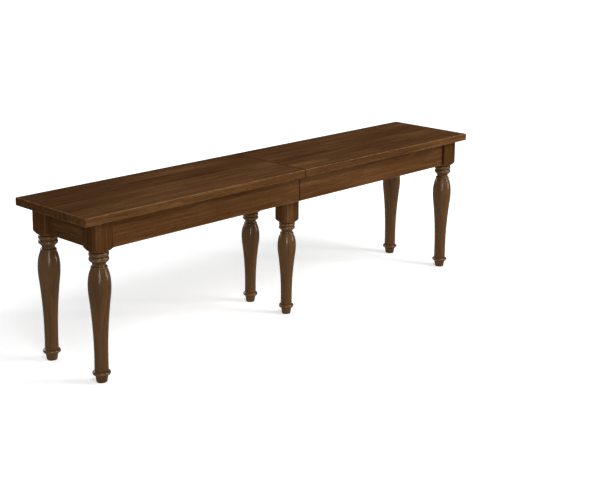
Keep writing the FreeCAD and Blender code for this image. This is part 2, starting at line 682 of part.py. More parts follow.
def make_corner(side, xsign, face, ysign, quarter_turn):
    """An end leg with its two mortises, and the block and hanger bolt that draw it into the corner."""
    name = "%s_%s_leg" % (side, face)
    leg = turned_leg(name + "_turned", "end_square", "1", "end_shoulder", UNDER_TOP)
    insets = ("apron_inset", "end_inset") if xsign == ysign else ("end_inset", "apron_inset")
    cut_mortise(leg, name + "_mortise_a", "YZ_Plane", True, insets[0])
    cut_mortise(leg, name + "_mortise_b", "XZ_Plane", False, insets[1])
    leg.Placement.Rotation = FreeCAD.Rotation(FreeCAD.Vector(0, 0, 1), quarter_turn)
    set_place(leg, times(xsign, LEG_X), times(ysign, LEG_Y), "0")

    inward = (-xsign, -ysign, 0)
    start = diagonal_place(xsign, ysign, "%s - block_clear - bolt_in_leg" % CORNER_FACE, BOLT_Z)
    length = "bolt_in_leg + block_clear + block_thick + bolt_out"
    leg_hole = rod(name + "_bolt_hole", "bolt_radius + hole_clear", length, start, inward)
    block_hole = rod(name + "_block_hole", "bolt_radius + hole_clear", length, start, inward)
    keep(name, cut(name, leg, [leg_hole]))
    bolt = rod(name + "_bolt", "bolt_radius", length, start, inward)
    nut_place = diagonal_place(xsign, ysign, "%s + block_thick" % CORNER_FACE, BOLT_Z)
    nut = flanged_nut(name + "_nut", nut_place, inward)
    return corner_block("%s_%s_corner_block" % (side, face), xsign, ysign, [block_hole]), bolt, nut


def make_glue_blocks(side, xsign, face, ysign):
    """Three blocks in the corner between a long apron and the seat."""
    pieces = []
    for number in range(3):
        centre = "(%s + (%s - end_square / 2) * %d / 6)" % (SEAM, LEG_X, 2 * number + 1)
        pieces.append(block(
            "%s_%s_glue_block_%d" % (side, face, number),
            span(xsign, "%s - glue_length / 2" % centre, "%s + glue_length / 2" % centre),
            span(ysign, "%s - glue_side" % APRON_IN_Y, APRON_IN_Y),
            ("%s - glue_side" % UNDER_TOP, UNDER_TOP),
        ))
    return pieces


def make_moving_rail(side, xsign, face, ysign, top_cuts):
    """A rail under one half that reaches past the seam, tongued into the fixed rail, with its rack let in."""
    name = "%s_%s_rail" % (side, face)
    bank_y = times(ysign, BANK_Y)
    # Left rails run on the outer flank of each fixed rail and right rails on the inner flank.
    flank = ysign if xsign < 0 else -ysign

    def beside(low, high):
        near, far = span(flank, low, high)
        return ("%s + %s" % (bank_y, near), "%s + %s" % (bank_y, far))

    reaching = block(
        name + "_reach", span(xsign, "-rail_reach", "cut_past"),
        beside(RAIL_NEAR, RAIL_FAR), (RAIL_LOW, RAIL_TOP),
    )
    seated = block(
        name + "_seated", span(xsign, SEAM, "rail_tail"),
        beside(RAIL_NEAR, RAIL_FAR), (RAIL_LOW, UNDER_TOP),
    )
    tongue = block(
        name + "_tongue", span(xsign, "-rail_reach", "rail_tail"),
        beside("%s - tongue_depth" % RAIL_NEAR, "%s + cut_past" % RAIL_NEAR),
        (TONGUE_LOW, "%s + tongue_tall" % TONGUE_LOW),
    )
    rack_from = neg("(%s + %s)" % (RACK_START, RACK_LENGTH))
    rack_to = neg(RACK_START)
    rack_back = "(%s + %s)" % (RACK_FACE, RACK_DEEP)
    channel = block(
        name + "_channel",
        span(xsign, rack_from + " - joint_clear", rack_to + " + joint_clear"),
        beside("%s - cut_past" % RAIL_NEAR, "%s + joint_clear" % rack_back),
        ("%s - joint_clear" % GEAR_LOW, "%s + rack_tall + joint_clear" % GEAR_LOW),
    )
    cuts = [channel]
    screws = []
    seat = "(%s + well_depth)" % RAIL_LOW
    y = "%s + %s" % (bank_y, times(flank, "(rail_thick + rail_gap)"))
    for number, place in enumerate(("rail_screw_inset", "rail_screw_inset + rail_screw_spacing")):
        x = times(xsign, place)
        tag = "%s_screw_%d" % (name, number)
        screws.append(wood_screw(tag, x, y, seat, UNDER_TOP + " + screw_bite"))
        cuts.append(rod(tag + "_well", "well_radius", "well_depth", (x, y, RAIL_LOW)))
        cuts.append(screw_hole(tag + "_hole", x, y, seat, UNDER_TOP))
        top_cuts.append(screw_hole(tag + "_pilot", x, y, UNDER_TOP, UNDER_TOP + PILOT))
    keep(name, cut(name, fuse(name + "_blank", [reaching, seated, tongue]), cuts))

    # The strip is built with its back at y = 0 and its teeth towards +Y, so the far flank turns it round.
    rack = rack_strip("%s_%s_rack" % (side, face))
    low, high = span(xsign, rack_from, rack_to)
    turned = flank > 0
    rack.Placement.Rotation = FreeCAD.Rotation(FreeCAD.Vector(0, 0, 1), 180 if turned else 0)
    set_place(rack, high if turned else low, "%s + %s" % (bank_y, times(flank, rack_back)), GEAR_LOW)
    keep("%s_%s_rack" % (side, face), rack)
    return screws


def make_seam_pins(side, xsign, top_cuts):
    """Two pins glued in the left seat that enter holes in the right one as the seam closes."""
    outward = (xsign, 0, 0)
    pins = []
    for number in (-1, 1):
        y = "pin_spacing / 2 * %d" % number
        tag = "%s_seam_pin_%d" % (side, number + 1)
        if side == "left":
            inner_end = neg("(%s + pin_length - pin_out)" % SEAM)
            pins.append(rod(tag, "pin_radius", "pin_length", (inner_end, y, PIN_Z), (1, 0, 0)))
            radius = "pin_radius + hole_clear"
            depth = "pin_length - pin_out + joint_clear"
        else:
            radius = "pin_radius + pin_clear"
            depth = "pin_out + cut_past"
        top_cuts.append(rod(tag + "_hole", radius, depth, (times(xsign, SEAM), y, PIN_Z), outward))
    if pins:
        keep("seam_pins", group("seam_pins", pins))


def lock_plate(title, xsign, near, far, guides, room):
    """A plate under the seat with bored guides for the sliding bolt."""
    half_width = "(lock_width / 2)"
    plate_up = ("%s - plate_thick" % UNDER_TOP, UNDER_TOP)
    guide_up = ("%s - guide_width / 2" % LOCK_Z, "%s - plate_thick / 2" % UNDER_TOP)
    plate = block(title + "_plate", span(xsign, near, far), (neg(half_width), half_width), plate_up)
    ears = [
        block(
            "%s_guide_%d" % (title, number), span(xsign, start, "%s + guide_length" % start),
            (neg("guide_width / 2"), "guide_width / 2"), guide_up,
        )
        for number, start in enumerate(guides)
    ]
    start = times(xsign, "(%s - cut_past)" % near)
    bore = rod(
        title + "_bore", "lock_radius + %s" % room, "(%s) - (%s) + cut_past * 2" % (far, near),
        (start, "0", LOCK_Z), (xsign, 0, 0),
    )
    keep(title, cut(title, fuse(title + "_blank", [plate] + ears), [bore]))


def make_half(side, xsign):
    """Everything that slides out with one half of the seat."""
    quarters = {(-1, -1): 0, (1, -1): 90, (1, 1): 180, (-1, 1): 270}
    top_cuts = []
    corners = []
    glue_blocks = []
    rail_screws = []
    for face, ysign in BANKS:
        corners.append(make_corner(side, xsign, face, ysign, quarters[(xsign, ysign)]))
        middle = "(%s - apron_thick / 2)" % APRON_OUT_Y
        tongue = span(ysign, "%s - tenon_thick / 2" % middle, "%s + tenon_thick / 2" % middle)
        leg_face = "%s - end_square / 2" % LEG_X
        tenon = span(xsign, leg_face + " - cut_past", leg_face + " + tenon_length")
        apron(
            "%s_%s_apron" % (side, face), span(xsign, SEAM, leg_face),
            span(ysign, APRON_IN_Y, APRON_OUT_Y), [(tenon, tongue)],
        )
        glue_blocks += make_glue_blocks(side, xsign, face, ysign)
        rail_screws += make_moving_rail(side, xsign, face, ysign, top_cuts)

    ends = "(%s - end_square / 2)" % LEG_Y
    middle = "(%s - apron_thick / 2)" % APRON_OUT_X
    tongue = span(xsign, "%s - tenon_thick / 2" % middle, "%s + tenon_thick / 2" % middle)
    apron(side + "_end_apron", span(xsign, APRON_IN_X, APRON_OUT_X), (neg(ends), ends), [
        (tongue, span(sign, "%s - cut_past" % ends, "%s + tenon_length" % ends)) for sign in (-1, 1)
    ])
    for title, pieces in (
        ("corner_blocks", [corner[0] for corner in corners]),
        ("hanger_bolts", [corner[1] for corner in corners]),
        ("hanger_nuts", [corner[2] for corner in corners]),
        ("glue_blocks", glue_blocks),
        ("rail_screws", rail_screws),
    ):
        keep("%s_%s" % (side, title), group("%s_%s" % (side, title), pieces))
    make_seam_pins(side, xsign, top_cuts)
    seat_board(side + "_seat", xsign, top_cuts)


make_half("left", -1)
make_half("right", 1)

# The lock: guides on the left half, a keeper on the right half.
lock_far = "(lock_back + %s)" % LOCK_LENGTH
lock_guides = ["lock_back", "%s - guide_length" % lock_far]
lock_plate("lock_base", -1, "lock_back", lock_far, lock_guides, "lock_clear")
keeper_near = "(lock_back / 2)"
lock_plate("lock_keeper", 1, keeper_near, keeper_near + " + guide_length", [keeper_near], "lock_clear * 3")

# The sliding bolt, drawn back: a rod in its two guides with a turned knob to push it by.
knob_place = (
    neg("(lock_back + guide_length + lock_throw + stem_radius + knob_clear)"), "0", "%s - knob_drop" % LOCK_Z,
)
lock_rod = rod("lock_rod", "lock_radius", LOCK_LENGTH, (neg(lock_far), "0", LOCK_Z), (1, 0, 0))
stem = rod("lock_stem", "stem_radius", "knob_drop", knob_place)
knob = cone("lock_knob", "knob_radius", "stem_radius", "knob_drop * 0.4", knob_place)
keep("lock_bolt", fuse("lock_bolt", [lock_rod, stem, knob]))

doc.recompute()

failed = [item.Name for item in doc.Objects if "Invalid" in item.State or "Error" in item.State]
if failed:
    raise RuntimeError("objects that failed: %s" % ", ".join(failed))
labels = [item.Label for item in nodes]
if len(set(labels)) != len(labels):
    raise RuntimeError("two pieces share a name")
for item in nodes:
    if item.Shape.isNull() or not item.Shape.isValid() or not item.Shape.Solids:
        raise RuntimeError("%s has no valid solid" % item.Label)

os.makedirs("parts", exist_ok=True)
for item in nodes:
    item.Shape.exportStep("parts/%s.step" % item.Label)
print("%d pieces written" % len(nodes))
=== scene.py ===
import json
import math

import bmesh
import bpy
from mathutils import Matrix, Vector

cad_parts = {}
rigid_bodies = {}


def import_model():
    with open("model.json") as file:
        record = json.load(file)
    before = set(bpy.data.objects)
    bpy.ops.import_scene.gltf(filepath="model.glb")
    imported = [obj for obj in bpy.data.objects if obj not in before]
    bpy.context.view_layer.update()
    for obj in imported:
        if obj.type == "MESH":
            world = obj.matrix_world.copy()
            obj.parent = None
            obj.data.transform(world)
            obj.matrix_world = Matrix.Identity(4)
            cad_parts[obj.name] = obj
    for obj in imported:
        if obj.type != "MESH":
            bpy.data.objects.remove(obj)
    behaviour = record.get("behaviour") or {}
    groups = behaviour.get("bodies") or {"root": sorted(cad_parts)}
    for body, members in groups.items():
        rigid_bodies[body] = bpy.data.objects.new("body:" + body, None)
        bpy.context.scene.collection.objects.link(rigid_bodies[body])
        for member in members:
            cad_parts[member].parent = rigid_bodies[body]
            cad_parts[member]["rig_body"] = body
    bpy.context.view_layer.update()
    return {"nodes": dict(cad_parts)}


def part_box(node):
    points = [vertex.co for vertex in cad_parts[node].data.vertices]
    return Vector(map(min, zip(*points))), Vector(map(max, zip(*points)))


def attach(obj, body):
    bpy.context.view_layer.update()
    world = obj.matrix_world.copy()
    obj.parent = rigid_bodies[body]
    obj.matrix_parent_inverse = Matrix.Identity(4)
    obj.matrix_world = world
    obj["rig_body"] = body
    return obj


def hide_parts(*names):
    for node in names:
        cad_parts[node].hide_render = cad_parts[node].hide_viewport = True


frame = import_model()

# Extending dining bench in walnut-stained wood. Metres, +X along the bench, +Y to its back, +Z up.
nodes = frame["nodes"]

SIDES = ("left", "right")
FACES = ("front", "back")

# Stained wood as it looks under the lacquer: its darkest streaks, its body and its palest, then the warmer
# tone of the turnings, the painted highlight with wear on edges and crests, and the painted shade, partly
# stain gathered there, in the grooves and at the joint.
STAIN_DARK = (0.034, 0.0125, 0.0034, 1)
STAIN_MID = (0.081, 0.0335, 0.0105, 1)
STAIN_LIGHT = (0.150, 0.070, 0.0250, 1)
STAIN_TURNED = (0.180, 0.092, 0.0200, 1)
EDGE_HIGHLIGHT_AND_WEAR = (0.30, 0.175, 0.085, 1)
GROOVE_AND_JOINT_SHADE = (0.016, 0.0060, 0.0022, 1)
# Share of clear lacquer over the flat boards and over the turnings, and how matt it is.
BOARD_GLOSS = 0.05
TURNED_GLOSS = 0.75
LACQUER_ROUGHNESS = 0.2
# Figure's tone at which the dark stain starts and ends its turn to the middle one, and that to the pale.
DARK_TO_MID = (0.28, 0.50)
MID_TO_LIGHT = (0.47, 0.74)
# How strongly the dark of the pores, the turnings' tone, and the painted shade of the grooves and of the
# joint cover what is under them.
PORE_SHARE = 0.5
TURNED_SHARE = 0.22
GROOVE_SHADE_SHARE = 0.75
SEAM_SHADE_SHARE = 0.95

# Unstained wood of the slides, and the rougher wood of the blocks and the cross board.
PALE_DARK = (0.36, 0.22, 0.115, 1)
PALE_MID = (0.56, 0.39, 0.225, 1)
PALE_LIGHT = (0.68, 0.51, 0.32, 1)
BLOCK_DARK = (0.33, 0.22, 0.12, 1)
BLOCK_MID = (0.49, 0.36, 0.21, 1)
BLOCK_LIGHT = (0.60, 0.47, 0.30, 1)

# Width of a seat's staves and of the painted highlight with wear on a board's edges, and how far from the
# joint its painted shade starts to fade and has gone.
STAVE_WIDTH = 0.0762
EDGE_HIGHLIGHT_WIDTH = 0.0034
SEAM_FADE_START = 0.0012
SEAM_FADE_END = 0.0032


# Node trees

def add_node(tree, kind, inputs=None, **settings):
    """A node with its settings, and with values or links put on its named or numbered inputs."""
    item = tree.nodes.new(kind)
    for name, setting in settings.items():
        setattr(item, name, setting)
    for key, source in (inputs or {}).items():
        if isinstance(source, bpy.types.NodeSocket):
            tree.links.new(source, item.inputs[key])
        else:
            item.inputs[key].default_value = source
    return item


def calc(tree, operation, *values, clamp=False):
    inputs = dict(enumerate(values))
    return add_node(tree, "ShaderNodeMath", inputs, operation=operation, use_clamp=clamp).outputs[0]


def vector_calc(tree, operation, *values):
    inputs = dict(enumerate(values))
    return add_node(tree, "ShaderNodeVectorMath", inputs, operation=operation).outputs[0]


def remap(tree, value, low, high, to_low=0.0, to_high=1.0):
    inputs = {"Value": value, "From Min": low, "From Max": high, "To Min": to_low, "To Max": to_high}
    return add_node(tree, "ShaderNodeMapRange", inputs, interpolation_type="SMOOTHSTEP").outputs[0]


def blend_colours(tree, share, first, second):
    item = add_node(tree, "ShaderNodeMix", data_type="RGBA")
    for key, source in ((0, share), (6, first), (7, second)):
        if isinstance(source, bpy.types.NodeSocket):
            tree.links.new(source, item.inputs[key])
        else:
            item.inputs[key].default_value = source
    return item.outputs[2]


def noise(tree, place, stretch, detail=3.0, roughness=0.55):
    scaled = vector_calc(tree, "MULTIPLY", place, stretch)
    inputs = {"Vector": scaled, "Scale": 1.0, "Detail": detail, "Roughness": roughness}
    return add_node(tree, "ShaderNodeTexNoise", inputs).outputs[0]


def start_group(name, inputs, outputs):
    """A shader node group with its sockets, its input node and its output node."""
    group = bpy.data.node_groups.new(name, "ShaderNodeTree")
    for title, kind in inputs:
        group.interface.new_socket(title, in_out="INPUT", socket_type=kind)
    for title, kind in outputs:
        group.interface.new_socket(title, in_out="OUTPUT", socket_type=kind)
    return group, group.nodes.new("NodeGroupInput").outputs, group.nodes.new("NodeGroupOutput").inputs


def make_figure_group():
    """Figure of wood with its grain along the first axis, in glued staves that each grew differently."""
    group, given, out = start_group(
        "wood_figure",
        (
            ("Vector", "NodeSocketVector"), ("Stave Width", "NodeSocketFloat"),
            ("Seed", "NodeSocketFloat"),
        ),
        (
            ("Tone", "NodeSocketFloat"), ("Stave", "NodeSocketFloat"), ("Fibre", "NodeSocketFloat"),
            ("Pores", "NodeSocketFloat"), ("Height", "NodeSocketFloat"),
        ),
    )
    place = given["Vector"]
    parts = add_node(group, "ShaderNodeSeparateXYZ", {0: place}).outputs
    number = calc(group, "FLOOR", calc(group, "DIVIDE", parts[1], given["Stave Width"]))
    luck = add_node(
        group, "ShaderNodeTexWhiteNoise",
        {"W": calc(group, "MULTIPLY_ADD", given["Seed"], 7.31, number)}, noise_dimensions="1D",
    ).outputs
    shifted = vector_calc(group, "MULTIPLY_ADD", luck[1], (9.0, 3.0, 5.0), place)

    clouds = noise(group, shifted, (2.4, 8.0, 8.0), 2.0)
    streaks = noise(group, shifted, (3.4, 95.0, 95.0), 4.0, 0.62)
    fibre = noise(group, shifted, (9.0, 420.0, 420.0), 3.0, 0.7)
    flecks = noise(group, shifted, (24.0, 300.0, 300.0), 2.0)
    dashes = noise(group, shifted, (45.0, 1500.0, 1500.0), 1.0)
    heart = vector_calc(group, "MULTIPLY_ADD", shifted, (0.22, 1.0, 0.6), (0.0, 0.35, 0.11))
    rings = add_node(
        group, "ShaderNodeTexWave",
        {
            "Vector": heart, "Scale": 17.0, "Distortion": 7.0,
            "Detail": 2.5, "Detail Scale": 1.1, "Detail Roughness": 0.55,
        },
        wave_type="RINGS", rings_direction="X", wave_profile="SAW",
    ).outputs[1]
    tone = calc(group, "MULTIPLY_ADD", clouds, 0.52, calc(group, "MULTIPLY", streaks, 0.40))
    tone = calc(group, "MULTIPLY_ADD", rings, 0.08, tone)
    tone = calc(group, "MULTIPLY_ADD", calc(group, "SUBTRACT", fibre, 0.5), 0.20, tone)
    tone = calc(group, "SUBTRACT", tone, remap(group, flecks, 0.58, 0.72, 0.0, 0.16))
    pores = remap(group, dashes, 0.30, 0.40, 1.0, 0.0)
    height = calc(group, "MULTIPLY_ADD", fibre, 0.6, calc(group, "MULTIPLY", pores, -0.7))
    for title, source in (
        ("Tone", tone), ("Stave", luck[0]), ("Fibre", fibre), ("Pores", pores), ("Height", height),
    ):
        group.links.new(source, out[title])
    return group


def make_edge_group():
    """How near a point is to a level edge of a board, given by its centre and half its size."""
    group, given, out = start_group(
        "board_edges",
        (
            ("Vector", "NodeSocketVector"), ("Centre", "NodeSocketVector"),
            ("Half Size", "NodeSocketVector"), ("Width", "NodeSocketFloat"),
        ),
        (("Edge", "NodeSocketFloat"),),
    )
    from_centre = vector_calc(group, "SUBTRACT", given["Vector"], given["Centre"])
    off = vector_calc(group, "ABSOLUTE", from_centre)
    inside = vector_calc(group, "ABSOLUTE", vector_calc(group, "SUBTRACT", given["Half Size"], off))
    x, y, z = add_node(group, "ShaderNodeSeparateXYZ", {0: inside}).outputs
    along_side = calc(group, "MAXIMUM", y, z)
    along_end = calc(group, "MAXIMUM", x, z)
    nearest = calc(group, "MINIMUM", along_side, along_end)
    share = calc(group, "DIVIDE", nearest, given["Width"])
    ragged = noise(group, given["Vector"], (60.0, 60.0, 60.0), 3.0, 0.6)
    share = calc(group, "ADD", share, calc(group, "MULTIPLY", ragged, 0.9))
    group.links.new(remap(group, share, 0.45, 1.1, 1.0, 0.0), out["Edge"])
    return group


def make_joint_shade_group():
    """Painted shade of an eased rim where the halves meet, with the end grain's darker stain, on every face
    but the joint's own.
    """
    group, given, out = start_group(
        "painted_joint_shade",
        (("Vector", "NodeSocketVector"), ("Facing", "NodeSocketVector")),
        (("Painted Shade", "NodeSocketFloat"),),
    )
    aside = vector_calc(group, "ABSOLUTE", given["Facing"])
    end_face = add_node(group, "ShaderNodeSeparateXYZ", {0: aside}).outputs[0]
    along = add_node(group, "ShaderNodeSeparateXYZ", {0: given["Vector"]}).outputs[0]
    off = calc(group, "ABSOLUTE", along)
    near = remap(group, off, SEAM_FADE_START, SEAM_FADE_END, 1.0, 0.0)
    joint_shade_mask = calc(group, "MULTIPLY", near, remap(group, end_face, 0.5, 0.9, 1.0, 0.0))
    group.links.new(joint_shade_mask, out["Painted Shade"])
    return group


def make_metal_group():
    """Fine tooling marks along the first axis with a few dull spots."""
    group, given, out = start_group(
        "tooled_metal",
        (("Vector", "NodeSocketVector"),),
        (("Tone", "NodeSocketFloat"), ("Roughness", "NodeSocketFloat"), ("Height", "NodeSocketFloat")),
    )
    marks = noise(group, given["Vector"], (40.0, 1800.0, 1800.0), 2.0)
    spots = noise(group, given["Vector"], (160.0, 160.0, 160.0), 4.0, 0.65)
    rough = calc(group, "MULTIPLY_ADD", spots, 0.30, calc(group, "MULTIPLY_ADD", marks, 0.12, 0.14))
    for title, source in (("Tone", spots), ("Roughness", rough), ("Height", marks)):
        group.links.new(source, out[title])
    return group


FIGURE = make_figure_group()
EDGES = make_edge_group()
JOINT_SHADE_GROUP = make_joint_shade_group()
METAL = make_metal_group()


def place_group(tree, group, **inputs):
    """A group's outputs, with its inputs given by name and underscores for spaces."""
    item = tree.nodes.new("ShaderNodeGroup")
    item.node_tree = group
    for name, source in inputs.items():
        socket = item.inputs[name.replace("_", " ")]
        if isinstance(source, bpy.types.NodeSocket):
            tree.links.new(source, socket)
        else:
            socket.default_value = source
    return item.outputs


def start_material(name):
    material = bpy.data.materials.new(name)
    material.use_nodes = True
    tree = material.node_tree
    tree.nodes.clear()
    surface = tree.nodes.new("ShaderNodeBsdfPrincipled")
    output = tree.nodes.new("ShaderNodeOutputMaterial")
    tree.links.new(surface.outputs[0], output.inputs["Surface"])
    place = tree.nodes.new("ShaderNodeTexCoord").outputs["Object"]
    return material, tree, surface, place


def along_grain(tree, place, axis):
    """Turns the coordinates so that the wood's grain, on the given axis, becomes the first one."""
    x, y, z = add_node(tree, "ShaderNodeSeparateXYZ", {0: place}).outputs
    order = {"x": (x, y, z), "y": (y, x, z), "z": (z, x, y), "x_upright": (x, z, y)}[axis]
    return add_node(tree, "ShaderNodeCombineXYZ", dict(enumerate(order))).outputs[0]


def add_bump(tree, surface, height, strength, distance):
    inputs = {"Height": height, "Strength": strength, "Distance": distance}
    bump = add_node(tree, "ShaderNodeBump", inputs)
    tree.links.new(bump.outputs[0], surface.inputs["Normal"])


def vertex_mask(tree, name):
    return add_node(tree, "ShaderNodeAttribute", attribute_name=name).outputs["Fac"]


def stained_wood(
    name, axis, stave=0.5, seed=0.0, stave_share=0.10, board=None, wear_and_highlight=0.5, turned=False, seam=False,
):
    """Walnut stain under satin lacquer.

    board is the (lowest, highest) corner of a squared piece whose level edges get a paler painted highlight
    with wear. A turned piece brings two masks of its own: one for that painted highlight and wear, which is
    below nought in the grooves for painted shade with some gathered stain, and one for the brighter, warmer
    polish of the turning. A seam gets a painted shade on its rim, with the end grain's darker stain.
    """
    material, tree, surface, place = start_material(name)
    grain = along_grain(tree, place, axis)
    figure = place_group(tree, FIGURE, Vector=grain, Stave_Width=stave, Seed=seed)
    stave_luck = calc(tree, "SUBTRACT", figure["Stave"], 0.5)
    tone = calc(tree, "MULTIPLY_ADD", stave_luck, stave_share, figure["Tone"])
    low_half = blend_colours(tree, remap(tree, tone, *DARK_TO_MID), STAIN_DARK, STAIN_MID)
    colour = blend_colours(tree, remap(tree, tone, *MID_TO_LIGHT), low_half, STAIN_LIGHT)
    pores = calc(tree, "MULTIPLY", figure["Pores"], PORE_SHARE)
    colour = blend_colours(tree, pores, colour, STAIN_DARK)
    # Paler level edges: a painted highlight on the eased arris, with wear.
    if board:
        low, high = board
        painted_light_and_wear = place_group(
            tree, EDGES, Vector=place,
            Centre=(low + high) / 2, Half_Size=(high - low) / 2, Width=EDGE_HIGHLIGHT_WIDTH,
        )["Edge"]
        colour = blend_colours(tree, calc(tree, "MULTIPLY", painted_light_and_wear, wear_and_highlight), colour, EDGE_HIGHLIGHT_AND_WEAR)
    if turned:
        polish = vertex_mask(tree, "polish")
        gloss = remap(tree, polish, 0.0, 1.0, BOARD_GLOSS, TURNED_GLOSS)
        tree.links.new(gloss, surface.inputs["Coat Weight"])
        warmth = calc(tree, "MULTIPLY", polish, TURNED_SHARE)
        colour = blend_colours(tree, warmth, colour, STAIN_TURNED)
        # Paler bead crests and block corners: a painted highlight with wear.
        painted_light_and_wear = vertex_mask(tree, "painted_light_and_wear")
        crests = calc(tree, "MULTIPLY", painted_light_and_wear, wear_and_highlight, clamp=True)
        colour = blend_colours(tree, crests, colour, EDGE_HIGHLIGHT_AND_WEAR)
        # Darker grooves: painted shade, with some stain gathered there.
        groove_shade = calc(tree, "MULTIPLY", painted_light_and_wear, -GROOVE_SHADE_SHARE, clamp=True)
        colour = blend_colours(tree, groove_shade, colour, GROOVE_AND_JOINT_SHADE)
    else:
        surface.inputs["Coat Weight"].default_value = BOARD_GLOSS
    # Dark rim at the joint: painted shade of an eased arris, with the end grain's darker stain.
    if seam:
        facing = tree.nodes.new("ShaderNodeTexCoord").outputs["Normal"]
        joint_shade_mask = place_group(tree, JOINT_SHADE_GROUP, Vector=place, Facing=facing)["Painted Shade"]
        colour = blend_colours(tree, calc(tree, "MULTIPLY", joint_shade_mask, SEAM_SHADE_SHARE), colour, GROOVE_AND_JOINT_SHADE)
    tree.links.new(colour, surface.inputs["Base Color"])
    tree.links.new(remap(tree, figure["Fibre"], 0.2, 0.8, 0.55, 0.45), surface.inputs["Roughness"])
    surface.inputs["Specular IOR Level"].default_value = 0.0
    surface.inputs["Coat Roughness"].default_value = LACQUER_ROUGHNESS
    add_bump(tree, surface, figure["Height"], 0.28, 0.00035)
    return material


def bare_wood(name, axis, seed, light=PALE_LIGHT, mid=PALE_MID, dark=PALE_DARK, rough=0.62):
    """Unstained hardwood, planed and waxed where it slides."""
    material, tree, surface, place = start_material(name)
    grain = along_grain(tree, place, axis)
    figure = place_group(tree, FIGURE, Vector=grain, Stave_Width=0.4, Seed=seed)
    low_half = blend_colours(tree, remap(tree, figure["Tone"], 0.26, 0.5), dark, mid)
    colour = blend_colours(tree, remap(tree, figure["Tone"], 0.46, 0.76), low_half, light)
    colour = blend_colours(tree, calc(tree, "MULTIPLY", figure["Pores"], 0.4), colour, dark)
    tree.links.new(colour, surface.inputs["Base Color"])
    roughness = remap(tree, figure["Fibre"], 0.2, 0.8, rough + 0.08, rough - 0.08)
    tree.links.new(roughness, surface.inputs["Roughness"])
    surface.inputs["Specular IOR Level"].default_value = 0.35
    add_bump(tree, surface, figure["Height"], 0.4, 0.0004)
    return material


def plain_metal(name, axis, bright, dull):
    material, tree, surface, place = start_material(name)
    marks = place_group(tree, METAL, Vector=along_grain(tree, place, axis))
    colour = blend_colours(tree, remap(tree, marks["Tone"], 0.35, 0.68), bright, dull)
    tree.links.new(colour, surface.inputs["Base Color"])
    tree.links.new(marks["Roughness"], surface.inputs["Roughness"])
    surface.inputs["Metallic"].default_value = 1.0
    add_bump(tree, surface, marks["Height"], 0.15, 0.0001)
    return material


def coat_node(name, material):
    for slot in nodes[name].material_slots:
        slot.material = material


# Finishes of the pieces that keep their solids

# How far a board's box is drawn out past the joint. Every board on the right reaches further than this.
PAST_SEAM = 0.1


def away_from_seam(node):
    """The box of a board, drawn out past the seam so that its end there doesn't count as an edge."""
    low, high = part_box(node)
    if high.x > PAST_SEAM:
        low.x -= PAST_SEAM
    else:
        high.x += PAST_SEAM
    return low, high


def finish_boards():
    for number, side in enumerate(SIDES):
        seat = side + "_seat"
        coat_node(seat, stained_wood(
            seat + "_wood", "x", stave=STAVE_WIDTH, seed=3.0 + number, stave_share=0.16,
            board=away_from_seam(seat), wear_and_highlight=0.75, seam=True,
        ))
        for face in FACES:
            apron = "%s_%s_apron" % (side, face)
            coat_node(apron, stained_wood(
                apron + "_wood", "x_upright", seed=11.0 + number,
                board=away_from_seam(apron), wear_and_highlight=0.2, seam=True,
            ))
        apron = side + "_end_apron"
        coat_node(apron, stained_wood(
            apron + "_wood", "y", seed=17.0 + number, board=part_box(apron), wear_and_highlight=0.2,
        ))


def finish_hidden_pieces():
    slide_wood = bare_wood("slide_wood", "x", 23.0)
    block_wood = bare_wood("block_wood", "x", 29.0, BLOCK_LIGHT, BLOCK_MID, BLOCK_DARK, 0.74)
    board_wood = bare_wood("cross_board_wood", "y", 31.0, BLOCK_LIGHT, BLOCK_MID, BLOCK_DARK, 0.74)
    zinc = plain_metal("zinc_steel", "z", (0.62, 0.61, 0.57, 1), (0.42, 0.41, 0.38, 1))
    gear = plain_metal("gear_steel", "z", (0.40, 0.40, 0.41, 1), (0.22, 0.22, 0.23, 1))
    brass = plain_metal("lock_brass", "x", (0.70, 0.50, 0.22, 1), (0.42, 0.27, 0.10, 1))
    coat_node("centre_leg_board", board_wood)
    coat_node("seam_pins", slide_wood)
    for face in FACES:
        coat_node(face + "_centre_rail", slide_wood)
        coat_node(face + "_pinion", gear)
        for side in SIDES:
            coat_node("%s_%s_rail" % (side, face), slide_wood)
            coat_node("%s_%s_rack" % (side, face), gear)
    for side in SIDES:
        for title in ("corner_blocks", "glue_blocks"):
            coat_node("%s_%s" % (side, title), block_wood)
        for title in ("hanger_bolts", "hanger_nuts", "rail_screws"):
            coat_node("%s_%s" % (side, title), zinc)
    for name in ("centre_leg_bolts", "centre_leg_nuts", "centre_rail_screws", "pinion_axles"):
        coat_node(name, zinc)
    for name in ("lock_base", "lock_keeper", "lock_bolt"):
        coat_node(name, brass)


# Turned legs

